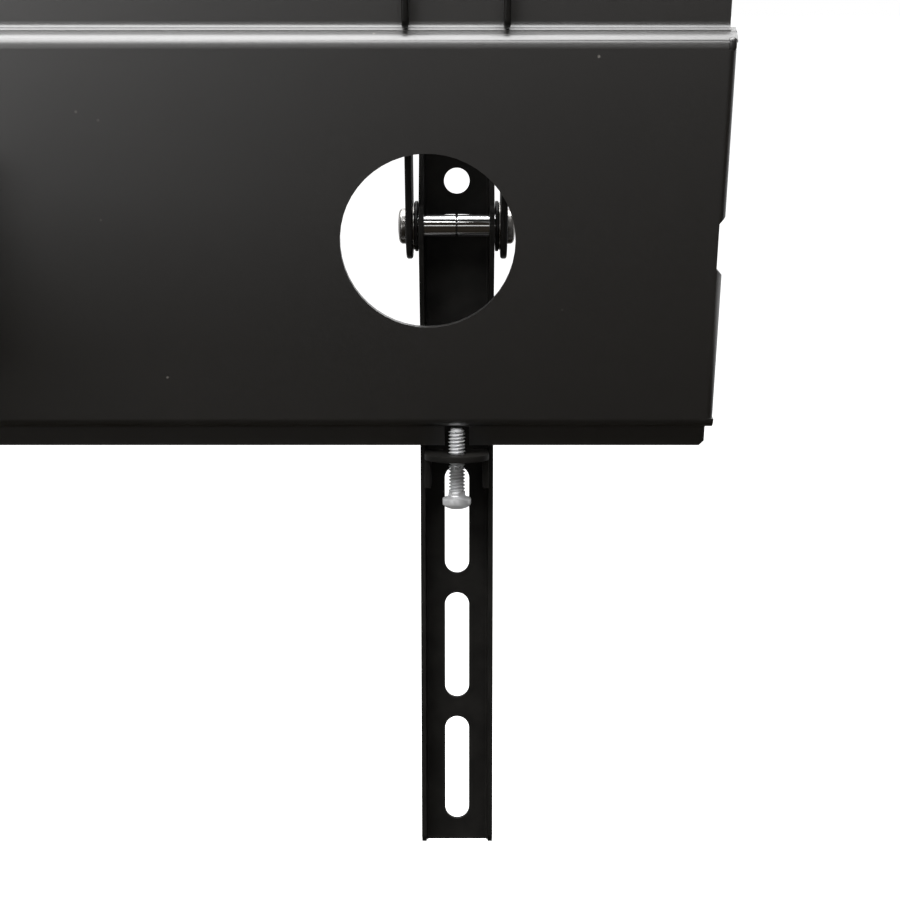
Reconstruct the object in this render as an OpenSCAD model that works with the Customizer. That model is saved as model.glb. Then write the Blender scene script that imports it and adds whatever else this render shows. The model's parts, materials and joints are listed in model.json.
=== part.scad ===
// Swivel wall mount for a television.
// +Z is up, the wall is on the +Y side and the television on the -Y side.
// The origin is the centre of the wall plate's back face.

/* [Wall plate] */
// Width of the wall plate
wall_w = 112; // [100:1:180]
// Height of the wall plate
wall_h = 236; // [200:1:320]
// Sheet thickness of the wall plate
wall_t = 3; // [2:0.5:5]
// Depth of the wall plate's folded sides
wall_flange = 12; // [8:1:20]
// Distance between the wall slots, across
wall_slot_dx = 62; // [50:1:70]
// Distance between the wall slots, up and down
wall_slot_dz = 190; // [170:1:190]
// Length of a wall slot, end to end
wall_slot_l = 22; // [16:1:26]
// Width of a wall slot
wall_slot_w = 9; // [6:0.5:12]

/* [Arms] */
// Length of the rear arm, pin to pin
rear_len = 220; // [180:1:320]
// Length of the front arm, pin to pin
front_len = 220; // [180:1:320]
// Height of the rear arm's tube
rear_h = 44; // [40:1:60]
// Width of the rear arm's tube
rear_w = 26; // [22:1:28]
// Height of the front arm's tube
front_h = 34; // [28:1:38]
// Width of the front arm's tube
front_w = 24; // [20:1:26]
// Wall of the arm tubes
tube_t = 2.5; // [1.5:0.5:4]
// Height of the knuckles that turn in the two brackets
knuckle_h = 50; // [46:1:64]
// Outer diameter of a knuckle
knuckle_d = 30; // [28:1:34]
// Diameter of the hinge pins
pin_d = 12; // [8:0.5:13]
// Distance of the wall hinge's pin from the wall plate
wall_reach = 42; // [38:1:60]
// Distance of the head hinge's pin from the head plate
head_reach = 40; // [36:1:60]
// Angle of the rear arm to straight out, as stored
rear_angle = 38; // [20:1:60]
// Angle between the arms, as stored
elbow_angle = -76; // [-100:1:-40]

/* [Head plate] */
// Width of the head plate
plate_w = 591; // [520:1:720]
// Height of the head plate between its two steps
plate_h = 143; // [130:1:180]
// Sheet thickness of the head plate
plate_t = 2.3; // [1.5:0.1:3]
// Depth of the steps to the two lips
step_d = 7; // [6.5:0.1:9]
// Height of the upper lip above its step
upper_lip = 21.5; // [18:0.5:30]
// Height of the lower lip below its step
lower_lip = 9; // [7:0.5:12]
// Diameter of the two round holes
port_d = 62.5; // [40:0.5:70]
// Distance of a round hole's centre from the plate's end
port_in = 105.7; // [95:0.1:120]
// Drop of the round holes below the middle of the plate
port_drop = 1.1; // [0:0.1:5]

/* [Television rails] */
// Distance of a rail from the middle of the plate
rail_x = 200; // [150:1:210]
// Sheet left between a rail's last slot and its end
rail_end = 8.35; // [6:0.05:40]
// Width of a rail
rail_w = 27.8; // [24:0.1:30]
// Sheet thickness of a rail
rail_t = 1.8; // [1.5:0.1:2.5]
// Depth of a rail's channel inside
rail_depth = 6.5; // [5:0.1:7]
// Width of a rail's slots
slot_w = 9.4; // [6:0.1:11]
// Length of a rail's slots, end to end
slot_l = 42.3; // [30:0.1:46]
// Distance between a rail's slots
slot_pitch = 50; // [48:0.5:56]
// Distance of the nearest slot's middle from the pivot
slot_first = 112.5; // [110:0.5:120]
// Diameter of the small round hole in a rail
sight_d = 9.7; // [5:0.1:12]
// Height of the small round hole above the pivot
sight_up = 17.4; // [16:0.1:24]
// Forward tilt of the rails, as stored
tilt = 13.5; // [10:0.5:13.5]
// Distance of the rail's web behind the tilt pivot
web_back = 11.7; // [10:0.1:13]

/* [Hook brackets] */
// Sheet thickness of a hook bracket
hook_t = 2.4; // [1.5:0.1:3]
// Radius of the ears round the pivot
ear_r = 12; // [10:0.5:14]
// Diameter of the pivot sleeve
sleeve_d = 9; // [7:0.1:10]
// Diameter of the sleeve's round heads
sleeve_head_d = 13; // [11:0.5:15]
// Diameter of the pivot washers
washer_d = 18.6; // [14:0.1:20]
// Thickness of the pivot washers
washer_t = 1.95; // [1:0.05:4]

/* [Lock brackets and screws] */
// Gap between the lower lip and the lock bracket, level with the pivot
lock_gap = 1.7625; // [1.5:0.0125:6]
// Sheet thickness of a lock bracket
lock_t = 2.3; // [1.5:0.1:3]
// Height of a lock bracket's legs
leg_h = 13.5; // [10:0.5:16]
// Diameter of a lock screw's thread
screw_d = 6.35; // [5:0.05:6.5]
// Length of a lock screw under its head
screw_l = 26.2; // [22:0.1:27]
// Diameter of a lock screw's head
screw_head_d = 10.8; // [9:0.1:12]

/* [Hidden] */
$fn = 64;

// Clearances
turn_gap = 0.3;        // between parts that move past each other
pin_gap = 0.08;        // round a pin that turns
seat_gap = 0.05;       // round a shaft that is held
eps = 0.01;            // overlap of a cutting shape

// Wall plate folds
wall_corner_r = 8;
wall_side_in = 14;     // the folded sides stop this far from the ends

// Hinges
bracket_t = 4;         // sheet of the two hinge brackets and the fork
bracket_w = 58;        // width of a hinge bracket
bracket_bend = 6;      // outside bend radius of a hinge bracket
ear_rim = 3;           // how far the ears reach past the knuckle
bush_t = 1.5;          // flange of a hinge bush
bush_wall = 1.5;       // wall of a hinge bush
bush_flange_d = 27;
bush_l = 14;           // length of a bush inside its knuckle
bush_d = pin_d + 2 * bush_wall;
hinge_gap = knuckle_h + 2 * (bush_t + turn_gap);
elbow_knuckle_h = rear_h - 2 * (bush_t + turn_gap);
fork_rim = 2;          // how far the fork's round end reaches past the knuckle
fork_gap = 2.6;        // gap between the knuckle and the fork's side
fork_r = knuckle_d / 2 + fork_rim;
fork_web = knuckle_d / 2 + fork_gap;
fork_set = 34;         // from the elbow pin back to the rear tube's end
fork_lap = 28;         // length of the fork's plates on the tube
fork_side = 8;         // how far the fork's side reaches past the pin
pin_head_d = 20;
pin_head_h = 5;
nut_af = 19;
nut_h = 9;
nut_flange = 1.5;
nut_rim = 2.5;
pin_out = 3;           // the pin's end below its nut
tube_r = 3;

// Where the head plate's face lies
wall_hinge_y = -wall_t - wall_reach;
front_angle = rear_angle + elbow_angle;
head_x = rear_len * sin(rear_angle) + front_len * sin(front_angle);
head_hinge_y = wall_hinge_y - rear_len * cos(rear_angle) - front_len * cos(front_angle);
face_y = head_hinge_y - head_reach;

// Head plate folds
half_h = plate_h / 2;
half_w = plate_w / 2;
fold_r = 4;            // outside bend at the steps
root_r = 2;            // inside bend at the lips
side_r = 3;            // outside bend of the ends
side_depth = 9.3;
lip_in = 1.8;          // lips stop this far short of the ends
lip_back = step_d + plate_t;
lip_chamfer = 1.8;
side_gap_top = 6.6;    // the folded ends stop this far from the upper step
side_gap_bottom = 3.4; // and this far from the lower step
side_top = half_h - side_gap_top;
side_bottom = -half_h + side_gap_bottom;
end_notch_in = 2.4;
end_notch_top = 5.5;
end_notch_bottom = -11;
bolt_dx = 36;
bolt_dz = 30;
bolt_d = 8;
bolt_af = 13;
bolt_head = 5.3;
bolt_nut = 6.5;
bolt_end = 2.5;

// Rail and what it carries; tilted forwards its flanges stand just behind the lower lip
rail_bend = 3;
tab_r = 11;            // rail flange round the pivot
tab_fade = 40;         // the flange is shallow again this far from the pivot
tab_slope = 7;
tab_bulge = 3;
rail_nose = 4;         // how far a flange is cut back at the rail's ends
rail_len = 2 * (slot_first + 2 * slot_pitch + slot_l / 2 + rail_end);
rail_inner = rail_w - 2 * rail_t;
flange_back = web_back - rail_depth;
pivot_back = lip_back + turn_gap + (half_h + lower_lip) * tan(tilt) - flange_back / cos(tilt);
lock_drop = (half_h + lower_lip + lock_gap) / cos(tilt); // bracket's top below the pivot
lock_foot = 1.4;       // gap between the lock bracket and the bend of the web
screw_out = 14.4;      // lock screw's axis in front of the rail's web
screw_lead = 1;        // chamfer of the screw's tip
nose_r = rail_inner / 2;
leg_depth = screw_out - 0.4;
tip_front = screw_out - web_back;
screw_r = screw_d / 2 - screw_lead;
screw_top = (half_h + turn_gap + (tip_front + screw_r) * sin(tilt)) / cos(tilt);
screw_crown = 2.2;
screw_dome = 2.4;
drive_l = 6;
drive_w = 1.2;
drive_deep = 2.6;
lock_way = screw_d + 3; // width of the notches in the lower lip, behind the lock screws
hook_w = rail_w + 2 * (hook_t + washer_t + turn_gap);
hook_root = lip_back + turn_gap;
hook_bottom = 38;      // height of the hook bracket's web above the pivot
hook_top = half_h + upper_lip;
hook_rise = 9;         // height of the hook's top above the upper lip
hook_bend = 3;
hook_drop = 0.4;       // gap between the hook's tip and the upper step
finger_d = 5.5;        // width of the hook's finger in front of the lip
socket_af = 4;
socket_in = 1.1;       // depth left of the sleeve head's dome below its socket
sleeve_dome = 3;
core_d = 5;            // shaft of the inner half sleeve inside the outer one
core_l = 9;

// Plain outlines

module rounded_rect(w, h, r) {
    square([w - 2 * r, h], center = true);
    square([w, h - 2 * r], center = true);
    for (x = [-1, 1])
        for (y = [-1, 1])
            translate([x * (w / 2 - r), y * (h / 2 - r)])
                circle(r);
}

module slot_outline(l, w) {
    square([l - w, w], center = true);
    for (s = [-1, 1])
        translate([s * (l - w) / 2, 0])
            circle(w / 2);
}

// A quarter of a ring in the first quadrant: one right-angled bend of a sheet
module bend(r_out, t) {
    intersection() {
        difference() {
            circle(r_out);
            circle(r_out - t);
        }
        square(r_out);
    }
}

// Extrudes an outline drawn in Y and Z along X, about the middle
module along_x(l) {
    translate([-l / 2, 0, 0])
        rotate([90, 0, 90])
            linear_extrude(l)
                children();
}

// Touching point of the line from a base corner to the round end of an ear
function ear_touch(half_base, reach, r) =
    let (d = sqrt(half_base * half_base + reach * reach))
    let (a = atan2(-reach, half_base) + acos(r / d))
    [r * cos(a), reach + r * sin(a)];

// A tapered ear: wide at y = 0, round about the pin at y = reach
module ear_outline(base_w, reach, r) {
    touch = ear_touch(base_w / 2, reach, r);
    translate([0, reach])
        circle(r);
    polygon([[-base_w / 2, 0], [base_w / 2, 0], touch, [-touch[0], touch[1]]]);
}

// A domed cap that stands on z = 0
module dome(d, h) {
    r = (d * d / 4 + h * h) / (2 * h);
    intersection() {
        translate([0, 0, h - r])
            sphere(r, $fn = 96);
        cylinder(h = h, d = d);
    }
}

// Hinge parts

// A folded bracket with its back at y = 0 and two ears towards +Y
module hinge_bracket(reach) {
    outer = hinge_gap / 2 + bracket_t;
    inner_r = bracket_bend - bracket_t;
    difference() {
        intersection() {
            along_x(bracket_w)
                difference() {
                    translate([reach, 0])
                        rounded_rect(2 * reach, 2 * outer, bracket_bend);
                    translate([reach + bracket_t, 0])
                        rounded_rect(2 * reach, hinge_gap, inner_r);
                }
            translate([0, 0, -outer])
                linear_extrude(2 * outer)
                    ear_outline(bracket_w, reach, knuckle_d / 2 + ear_rim);
        }
        translate([0, reach, -outer - 1])
            cylinder(h = 2 * outer + 2, d = pin_d + 2 * seat_gap);
    }
}

module knuckle(h) {
    cylinder(h = h, d = knuckle_d, center = true);
}

module knuckle_bore(h) {
    cylinder(h = h + 2, d = bush_d + 2 * seat_gap, center = true);
}

// Two flanged bushes in a knuckle of the given height
module bushes(h) {
    for (s = [0, 1])
        mirror([0, 0, s])
            translate([0, 0, h / 2])
                difference() {
                    union() {
                        cylinder(h = bush_t, d = bush_flange_d);
                        translate([0, 0, -bush_l])
                            cylinder(h = bush_l + eps, d = bush_d);
                    }
                    translate([0, 0, -bush_l - 1])
                        cylinder(h = bush_l + bush_t + 2, d = pin_d + 2 * pin_gap);
                }
}

// A pin whose domed head stands on ears that reach to the given height
module hinge_pin(outer) {
    translate([0, 0, -outer - nut_flange - nut_h - pin_out])
        cylinder(h = 2 * outer + nut_flange + nut_h + pin_out + 1, d = pin_d);
    translate([0, 0, outer])
        cylinder(h = pin_head_h / 2 + eps, d = pin_head_d);
    translate([0, 0, outer + pin_head_h / 2])
        dome(pin_head_d, pin_head_h / 2);
}

// A flanged lock nut below ears that reach down to the given height
module hinge_nut(outer) {
    translate([0, 0, -outer - nut_flange - nut_h])
        difference() {
            union() {
                cylinder(h = nut_h + eps, d = nut_af / cos(30), $fn = 6);
                translate([0, 0, nut_h])
                    cylinder(h = nut_flange, d = nut_af + 2 * nut_rim);
            }
            translate([0, 0, -1])
                cylinder(h = nut_h + nut_flange + 2, d = pin_d + 2 * seat_gap);
        }
}

module tube(l, w, h) {
    rotate([90, 0, 90])
        linear_extrude(l)
            difference() {
                rounded_rect(w, h, tube_r);
                rounded_rect(w - 2 * tube_t, h - 2 * tube_t, tube_r / 3);
            }
}

// Places

module at_wall_hinge() {
    translate([0, wall_hinge_y, 0])
        rotate([0, 0, rear_angle - 90])
            children();
}

module at_elbow() {
    at_wall_hinge()
        translate([rear_len, 0, 0])
            rotate([0, 0, elbow_angle])
                children();
}

module at_head_hinge() {
    translate([head_x, head_hinge_y, 0])
        children();
}

// The head plate's middle, on its face
module at_face() {
    translate([head_x, face_y, 0])
        children();
}

module at_pivot(side) {
    at_face()
        translate([side * rail_x, -pivot_back, 0])
            children();
}

module at_rail(side) {
    at_pivot(side)
        rotate([tilt, 0, 0])
            children();
}

// Wall end

module wall_plate() {
    color([0.06, 0.06, 0.06])
        difference() {
            union() {
                rotate([90, 0, 0])
                    linear_extrude(wall_t)
                        rounded_rect(wall_w - 2 * fold_r, wall_h, wall_corner_r);
                intersection() {
                    translate([0, 0, -wall_h / 2 + wall_side_in])
                        linear_extrude(wall_h - 2 * wall_side_in)
                            difference() {
                                translate([0, -wall_flange])
                                    rounded_rect(wall_w, 2 * wall_flange, fold_r);
                                translate([0, -wall_flange - wall_t])
                                    rounded_rect(wall_w - 2 * wall_t, 2 * wall_flange, fold_r - wall_t);
                            }
                    translate([-wall_w, -wall_flange, -wall_h])
                        cube([2 * wall_w, wall_flange, 2 * wall_h]);
                }
            }
            for (x = [-1, 1])
                for (z = [-1, 1])
                    translate([x * wall_slot_dx / 2, 1, z * wall_slot_dz / 2])
                        rotate([90, 0, 0])
                            linear_extrude(wall_t + 2)
                                slot_outline(wall_slot_l, wall_slot_w);
        }
}

module wall_bracket() {
    color([0.06, 0.06, 0.06])
        translate([0, -wall_t, 0])
            rotate([0, 0, 180])
                hinge_bracket(wall_reach);
}

module wall_pin() {
    color([0.75, 0.75, 0.77])
        at_wall_hinge()
            hinge_pin(hinge_gap / 2 + bracket_t);
}

module wall_nut() {
    color([0.75, 0.75, 0.77])
        at_wall_hinge()
            hinge_nut(hinge_gap / 2 + bracket_t);
}

module wall_bushes() {
    color([0.1, 0.1, 0.1])
        at_wall_hinge()
            bushes(knuckle_h);
}

// Arms

// Top, bottom and side of the fork that holds the elbow pin
module elbow_fork() {
    outer = rear_h / 2 + bracket_t;
    back = fork_set + fork_lap;
    difference() {
        union() {
            for (z = [-outer, rear_h / 2])
                translate([rear_len, 0, z])
                    linear_extrude(bracket_t) {
                        circle(fork_r);
                        translate([-back, -rear_w / 2])
                            square([back, rear_w]);
                        translate([-fork_set, -fork_r])
                            square([fork_set, 2 * fork_r]);
                        translate([-fork_set, 0])
                            square([fork_set + fork_side, fork_web + bracket_t]);
                    }
            translate([rear_len - fork_set, fork_web, -outer])
                cube([fork_set + fork_side, bracket_t, 2 * outer]);
        }
        translate([rear_len, 0, -outer - 1])
            cylinder(h = 2 * outer + 2, d = pin_d + 2 * seat_gap);
    }
}

module rear_arm() {
    color([0.06, 0.06, 0.06])
        at_wall_hinge() {
            difference() {
                union() {
                    difference() {
                        tube(rear_len - fork_set, rear_w, rear_h);
                        knuckle(knuckle_h);
                    }
                    knuckle(knuckle_h);
                }
                knuckle_bore(knuckle_h);
            }
            translate([rear_len - fork_set - tube_t, -rear_w / 2 + 1, -rear_h / 2])
                cube([tube_t, rear_w - 2, rear_h]);
            elbow_fork();
        }
}

module elbow_pin() {
    color([0.75, 0.75, 0.77])
        at_elbow()
            hinge_pin(rear_h / 2 + bracket_t);
}

module elbow_nut() {
    color([0.75, 0.75, 0.77])
        at_elbow()
            hinge_nut(rear_h / 2 + bracket_t);
}

module elbow_bushes() {
    color([0.1, 0.1, 0.1])
        at_elbow()
            bushes(elbow_knuckle_h);
}

module front_arm() {
    color([0.06, 0.06, 0.06])
        at_elbow()
            difference() {
                union() {
                    difference() {
                        tube(front_len, front_w, front_h);
                        knuckle(elbow_knuckle_h);
                        translate([front_len, 0, 0])
                            knuckle(knuckle_h);
                    }
                    knuckle(elbow_knuckle_h);
                    translate([front_len, 0, 0])
                        knuckle(knuckle_h);
                }
                knuckle_bore(elbow_knuckle_h);
                translate([front_len, 0, 0])
                    knuckle_bore(knuckle_h);
            }
}

// Head

module head_pin() {
    color([0.75, 0.75, 0.77])
        at_head_hinge()
            hinge_pin(hinge_gap / 2 + bracket_t);
}

module head_nut() {
    color([0.75, 0.75, 0.77])
        at_head_hinge()
            hinge_nut(hinge_gap / 2 + bracket_t);
}

module head_bushes() {
    color([0.1, 0.1, 0.1])
        at_head_hinge()
            bushes(knuckle_h);
}

module at_bolts() {
    for (x = [-1, 1])
        for (z = [-1, 1])
            translate([x * bolt_dx / 2, 0, z * bolt_dz / 2])
                rotate([90, 0, 0])
                    children();
}

module head_bracket() {
    color([0.06, 0.06, 0.06])
        at_face()
            difference() {
                hinge_bracket(head_reach);
                at_bolts()
                    translate([0, 0, -bracket_t - 1])
                        cylinder(h = bracket_t + 2, d = bolt_d + 2 * seat_gap);
            }
}

module head_bolts() {
    color([0.75, 0.75, 0.77])
        at_face()
            at_bolts() {
                translate([0, 0, -bracket_t - 1])
                    cylinder(h = 1 + bracket_t + plate_t + bolt_nut + bolt_end, d = bolt_d);
                translate([0, 0, -bracket_t - bolt_head])
                    cylinder(h = bolt_head, d = bolt_af / cos(30), $fn = 6);
            }
}

module head_nuts() {
    color([0.75, 0.75, 0.77])
        at_face()
            at_bolts()
                translate([0, 0, plate_t])
                    difference() {
                        cylinder(h = bolt_nut, d = bolt_af / cos(30), $fn = 6);
                        translate([0, 0, -1])
                            cylinder(h = bolt_nut + 2, d = bolt_d + 2 * seat_gap);
                    }
}

// Upper half of the plate's section, in Y and Z: face, step and lip
module plate_section(lip) {
    translate([-plate_t, -eps])
        square([plate_t, half_h - fold_r + 2 * eps]);
    translate([-fold_r, half_h - fold_r])
        bend(fold_r, plate_t);
    translate([-step_d + root_r, half_h - plate_t])
        square([step_d - root_r - fold_r, plate_t]);
    translate([-step_d + root_r, half_h + root_r])
        rotate(180)
            bend(root_r + plate_t, plate_t);
    translate([-lip_back, half_h + root_r])
        square([plate_t, lip - root_r]);
}

// The folded end of the plate at +X, seen from above
module end_section() {
    translate([half_w - side_r, -side_r])
        bend(side_r, plate_t);
    translate([half_w - plate_t, -side_depth])
        square([plate_t, side_depth - side_r]);
    translate([half_w - side_r - 2, -plate_t])
        square([2, plate_t]);
}

// What is cut from the plate's end at +X
module end_cuts() {
    far = 20;
    translate([half_w - side_r, -far, -half_h + fold_r])
        cube([far, 2 * far, plate_h - 2 * fold_r]);
    translate([half_w - lip_in, -far, half_h])
        cube([far, 2 * far, upper_lip + 1]);
    translate([half_w - lip_in, -far, -half_h - lower_lip - 1])
        cube([far, 2 * far, lower_lip + 1]);
    translate([half_w - lip_in, 0, -half_h - lower_lip])
        rotate([0, 45, 0])
            cube([lip_chamfer * sqrt(2), 4 * far, lip_chamfer * sqrt(2)], center = true);
}

module end_notch() {
    translate([half_w, 1, 0])
        rotate([90, 0, 0])
            linear_extrude(side_depth + 2)
                polygon([[-end_notch_in, end_notch_bottom], [-end_notch_in, end_notch_top],
                    [1, end_notch_top + end_notch_in + 1], [1, end_notch_bottom - end_notch_in - 1]]);
}

module head_plate() {
    color([0.07, 0.07, 0.065])
        at_face()
            difference() {
                union() {
                    difference() {
                        along_x(plate_w) {
                            plate_section(upper_lip);
                            mirror([0, 1])
                                plate_section(lower_lip);
                        }
                        for (s = [0, 1])
                            mirror([s, 0, 0])
                                end_cuts();
                    }
                    for (s = [0, 1])
                        mirror([s, 0, 0])
                            translate([0, 0, side_bottom])
                                linear_extrude(side_top - side_bottom)
                                    end_section();
                }
                for (s = [0, 1])
                    mirror([s, 0, 0]) {
                        end_notch();
                        translate([half_w - port_in, 1, -port_drop])
                            rotate([90, 0, 0])
                                cylinder(h = plate_t + 2, d = port_d, $fn = 128);
                        translate([rail_x - lock_way / 2, -lip_back - 1, -half_h - lower_lip - 1])
                            cube([lock_way, lip_back - plate_t + 1, lower_lip + 1]);
                    }
                at_bolts()
                    translate([0, 0, -1])
                        cylinder(h = plate_t + 2, d = bolt_d + 2 * seat_gap);
            }
}

// Rail assemblies

// Side of a hook bracket in Y and Z, measured from the plate's face
module hook_side_outline() {
    back = -pivot_back - ear_r;
    front = -pivot_back + ear_r;
    finger_y = -step_d + turn_gap;
    tip_r = finger_d / 2;
    translate([-pivot_back, 0])
        circle(ear_r);
    polygon([[back, 0], [back + 2, 40], [back + 9, hook_top + 4], [back + 14, hook_top + hook_rise],
        [finger_y + finger_d - 4, hook_top + hook_rise], [finger_y + finger_d, hook_top + hook_rise - 4],
        [finger_y + finger_d, half_h + hook_drop + tip_r], [finger_y, half_h + hook_drop + tip_r],
        [finger_y, hook_top], [-hook_root, hook_top], [-hook_root, hook_bottom], [front, 0]]);
    translate([finger_y + tip_r, half_h + hook_drop + tip_r])
        circle(tip_r);
}

module hook_bracket(side) {
    color([0.05, 0.05, 0.05])
        at_face()
            translate([side * rail_x, 0, 0])
                difference() {
                    union() {
                        for (s = [-1, 1])
                            translate([s * (hook_w - hook_t) / 2, 0, 0])
                                along_x(hook_t)
                                    hook_side_outline();
                        translate([-hook_w / 2, -hook_root - hook_t, hook_bottom + hook_bend])
                            cube([hook_w, hook_t, hook_top - hook_bottom - hook_bend]);
                    }
                    for (s = [0, 1])
                        mirror([s, 0, 0])
                            translate([hook_w / 2 - hook_bend, -hook_root - hook_bend,
                                hook_bottom + hook_bend])
                                linear_extrude(hook_top - hook_bottom - hook_bend)
                                    difference() {
                                        square(hook_bend + 1);
                                        circle(hook_bend);
                                    }
                    translate([0, -pivot_back, 0])
                        rotate([0, 90, 0])
                            cylinder(h = hook_w + 2, d = sleeve_d + 2 * seat_gap, center = true);
                }
}

// The half sleeve that points inwards from z = hook_w / 2, with its round head
module half_sleeve() {
    translate([0, 0, 0.1])
        cylinder(h = hook_w / 2 - 0.1, d = sleeve_d);
    translate([0, 0, hook_w / 2])
        dome(sleeve_head_d, sleeve_dome);
}

module hex_socket() {
    translate([0, 0, hook_w / 2 + socket_in])
        cylinder(h = sleeve_dome, d = socket_af / cos(30), $fn = 6);
}

module sleeve_outer(side) {
    color([0.85, 0.85, 0.86])
        at_pivot(side)
            rotate([0, 90 * side, 0])
                difference() {
                    half_sleeve();
                    hex_socket();
                    translate([0, 0, -1])
                        cylinder(h = core_l + 3, d = core_d + 4 * seat_gap);
                }
}

module sleeve_inner(side) {
    color([0.85, 0.85, 0.86])
        at_pivot(side)
            rotate([0, -90 * side, 0])
                difference() {
                    union() {
                        half_sleeve();
                        translate([0, 0, -core_l])
                            cylinder(h = core_l + 1, d = core_d);
                    }
                    hex_socket();
                }
}

module pivot_washers(side) {
    color([0.8, 0.8, 0.8])
        at_pivot(side)
            for (s = [-1, 1])
                rotate([0, 90 * s, 0])
                    translate([0, 0, hook_w / 2 - hook_t - washer_t])
                        difference() {
                            cylinder(h = washer_t, d = washer_d);
                            translate([0, 0, -1])
                                cylinder(h = washer_t + 2, d = sleeve_d + 2 * seat_gap);
                        }
}

// Side of a rail in Y and Z, about the pivot
module rail_side_outline() {
    back = -web_back - rail_t;
    front = -web_back + rail_depth;
    tip = rail_len / 2;
    upper = [[back, tip - 1], [back + 1, tip], [front - rail_nose, tip], [front, tip - rail_nose],
        [front, tab_fade], [front + tab_bulge, tab_fade - tab_slope], [tab_r * 0.8, tab_r / 2]];
    polygon([for (i = [0 : 13])
        i < 7 ? upper[i] : [upper[13 - i][0], -upper[13 - i][1]]]);
}

// The bent sheet of a rail before its sides are cut to shape
module rail_channel() {
    half = 2 * tab_r;
    translate([0, 0, -rail_len / 2])
        linear_extrude(rail_len)
            difference() {
                translate([0, half - web_back - rail_t])
                    rounded_rect(rail_w, 2 * half, rail_bend);
                translate([0, half - web_back])
                    rounded_rect(rail_inner, 2 * half, rail_bend - rail_t);
            }
}

// The round flange on either side of the pivot
module rail_tabs() {
    for (s = [-1, 1])
        translate([s * (rail_w - rail_t) / 2, 0, 0])
            along_x(rail_t)
                circle(tab_r);
}

module tv_rail(side) {
    color([0.04, 0.04, 0.04])
        at_rail(side)
            difference() {
                union() {
                    intersection() {
                        rail_channel();
                        along_x(rail_w + 2)
                            rail_side_outline();
                    }
                    rail_tabs();
                }
                rotate([0, 90, 0])
                    cylinder(h = rail_w + 2, d = sleeve_d + 2 * pin_gap, center = true);
                translate([0, -web_back + 1, sight_up])
                    rotate([90, 0, 0])
                        cylinder(h = rail_t + 2, d = sight_d);
                for (s = [-1, 1])
                    for (k = [0, 1, 2])
                        translate([0, -web_back + 1, s * (slot_first + k * slot_pitch)])
                            rotate([90, 90, 0])
                                linear_extrude(rail_t + 2)
                                    slot_outline(slot_l, slot_w);
            }
}

module lock_bracket(side) {
    color([0.04, 0.04, 0.04])
        at_rail(side)
            translate([0, -web_back, -lock_drop])
                difference() {
                    union() {
                        translate([0, 0, -lock_t])
                            linear_extrude(lock_t)
                                intersection() {
                                    union() {
                                        translate([-rail_inner / 2, 0])
                                            square([rail_inner, screw_out]);
                                        translate([0, screw_out])
                                            circle(nose_r);
                                    }
                                    translate([-rail_inner, lock_foot])
                                        square([2 * rail_inner, 2 * screw_out + nose_r]);
                                }
                        for (s = [-1, 1])
                            translate([s * (rail_inner - lock_t) / 2 - lock_t / 2, lock_foot, -leg_h])
                                cube([lock_t, leg_depth - lock_foot, leg_h - eps]);
                    }
                    translate([0, screw_out, -lock_t - 1])
                        cylinder(h = lock_t + 2, d = screw_d + 2 * pin_gap);
                }
}

module lock_screw(side) {
    neck = screw_top + screw_l;
    color([0.8, 0.8, 0.78])
        at_rail(side)
            translate([0, screw_out - web_back, -neck])
                difference() {
                    union() {
                        cylinder(h = screw_l - screw_lead, d = screw_d);
                        translate([0, 0, screw_l - screw_lead - eps])
                            cylinder(h = screw_lead + eps, d1 = screw_d, d2 = 2 * screw_r);
                        translate([0, 0, -screw_crown])
                            cylinder(h = screw_crown + eps, d = screw_head_d);
                        translate([0, 0, -screw_crown])
                            mirror([0, 0, 1])
                                dome(screw_head_d, screw_dome);
                    }
                    for (a = [0, 90])
                        rotate([0, 0, a])
                            translate([-drive_l / 2, -drive_w / 2, -screw_crown - screw_dome - 1])
                                cube([drive_l, drive_w, drive_deep]);
                }
}

wall_plate();
wall_bracket();
wall_pin();
wall_nut();
wall_bushes();
rear_arm();
elbow_pin();
elbow_nut();
elbow_bushes();
front_arm();
head_pin();
head_nut();
head_bushes();
head_bracket();
head_bolts();
head_nuts();
head_plate();
hook_bracket(1);  // hook_bracket_left
sleeve_outer(1);  // sleeve_outer_left
sleeve_inner(1);  // sleeve_inner_left
pivot_washers(1);  // pivot_washers_left
tv_rail(1);  // tv_rail_left
lock_bracket(1);  // lock_bracket_left
lock_screw(1);  // lock_screw_left
hook_bracket(-1);  // hook_bracket_right
sleeve_outer(-1);  // sleeve_outer_right
sleeve_inner(-1);  // sleeve_inner_right
pivot_washers(-1);  // pivot_washers_right
tv_rail(-1);  // tv_rail_right
lock_bracket(-1);  // lock_bracket_right
lock_screw(-1);  // lock_screw_right
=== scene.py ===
import bpy
import bmesh
import json
import math
from mathutils import Matrix, Vector


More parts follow.
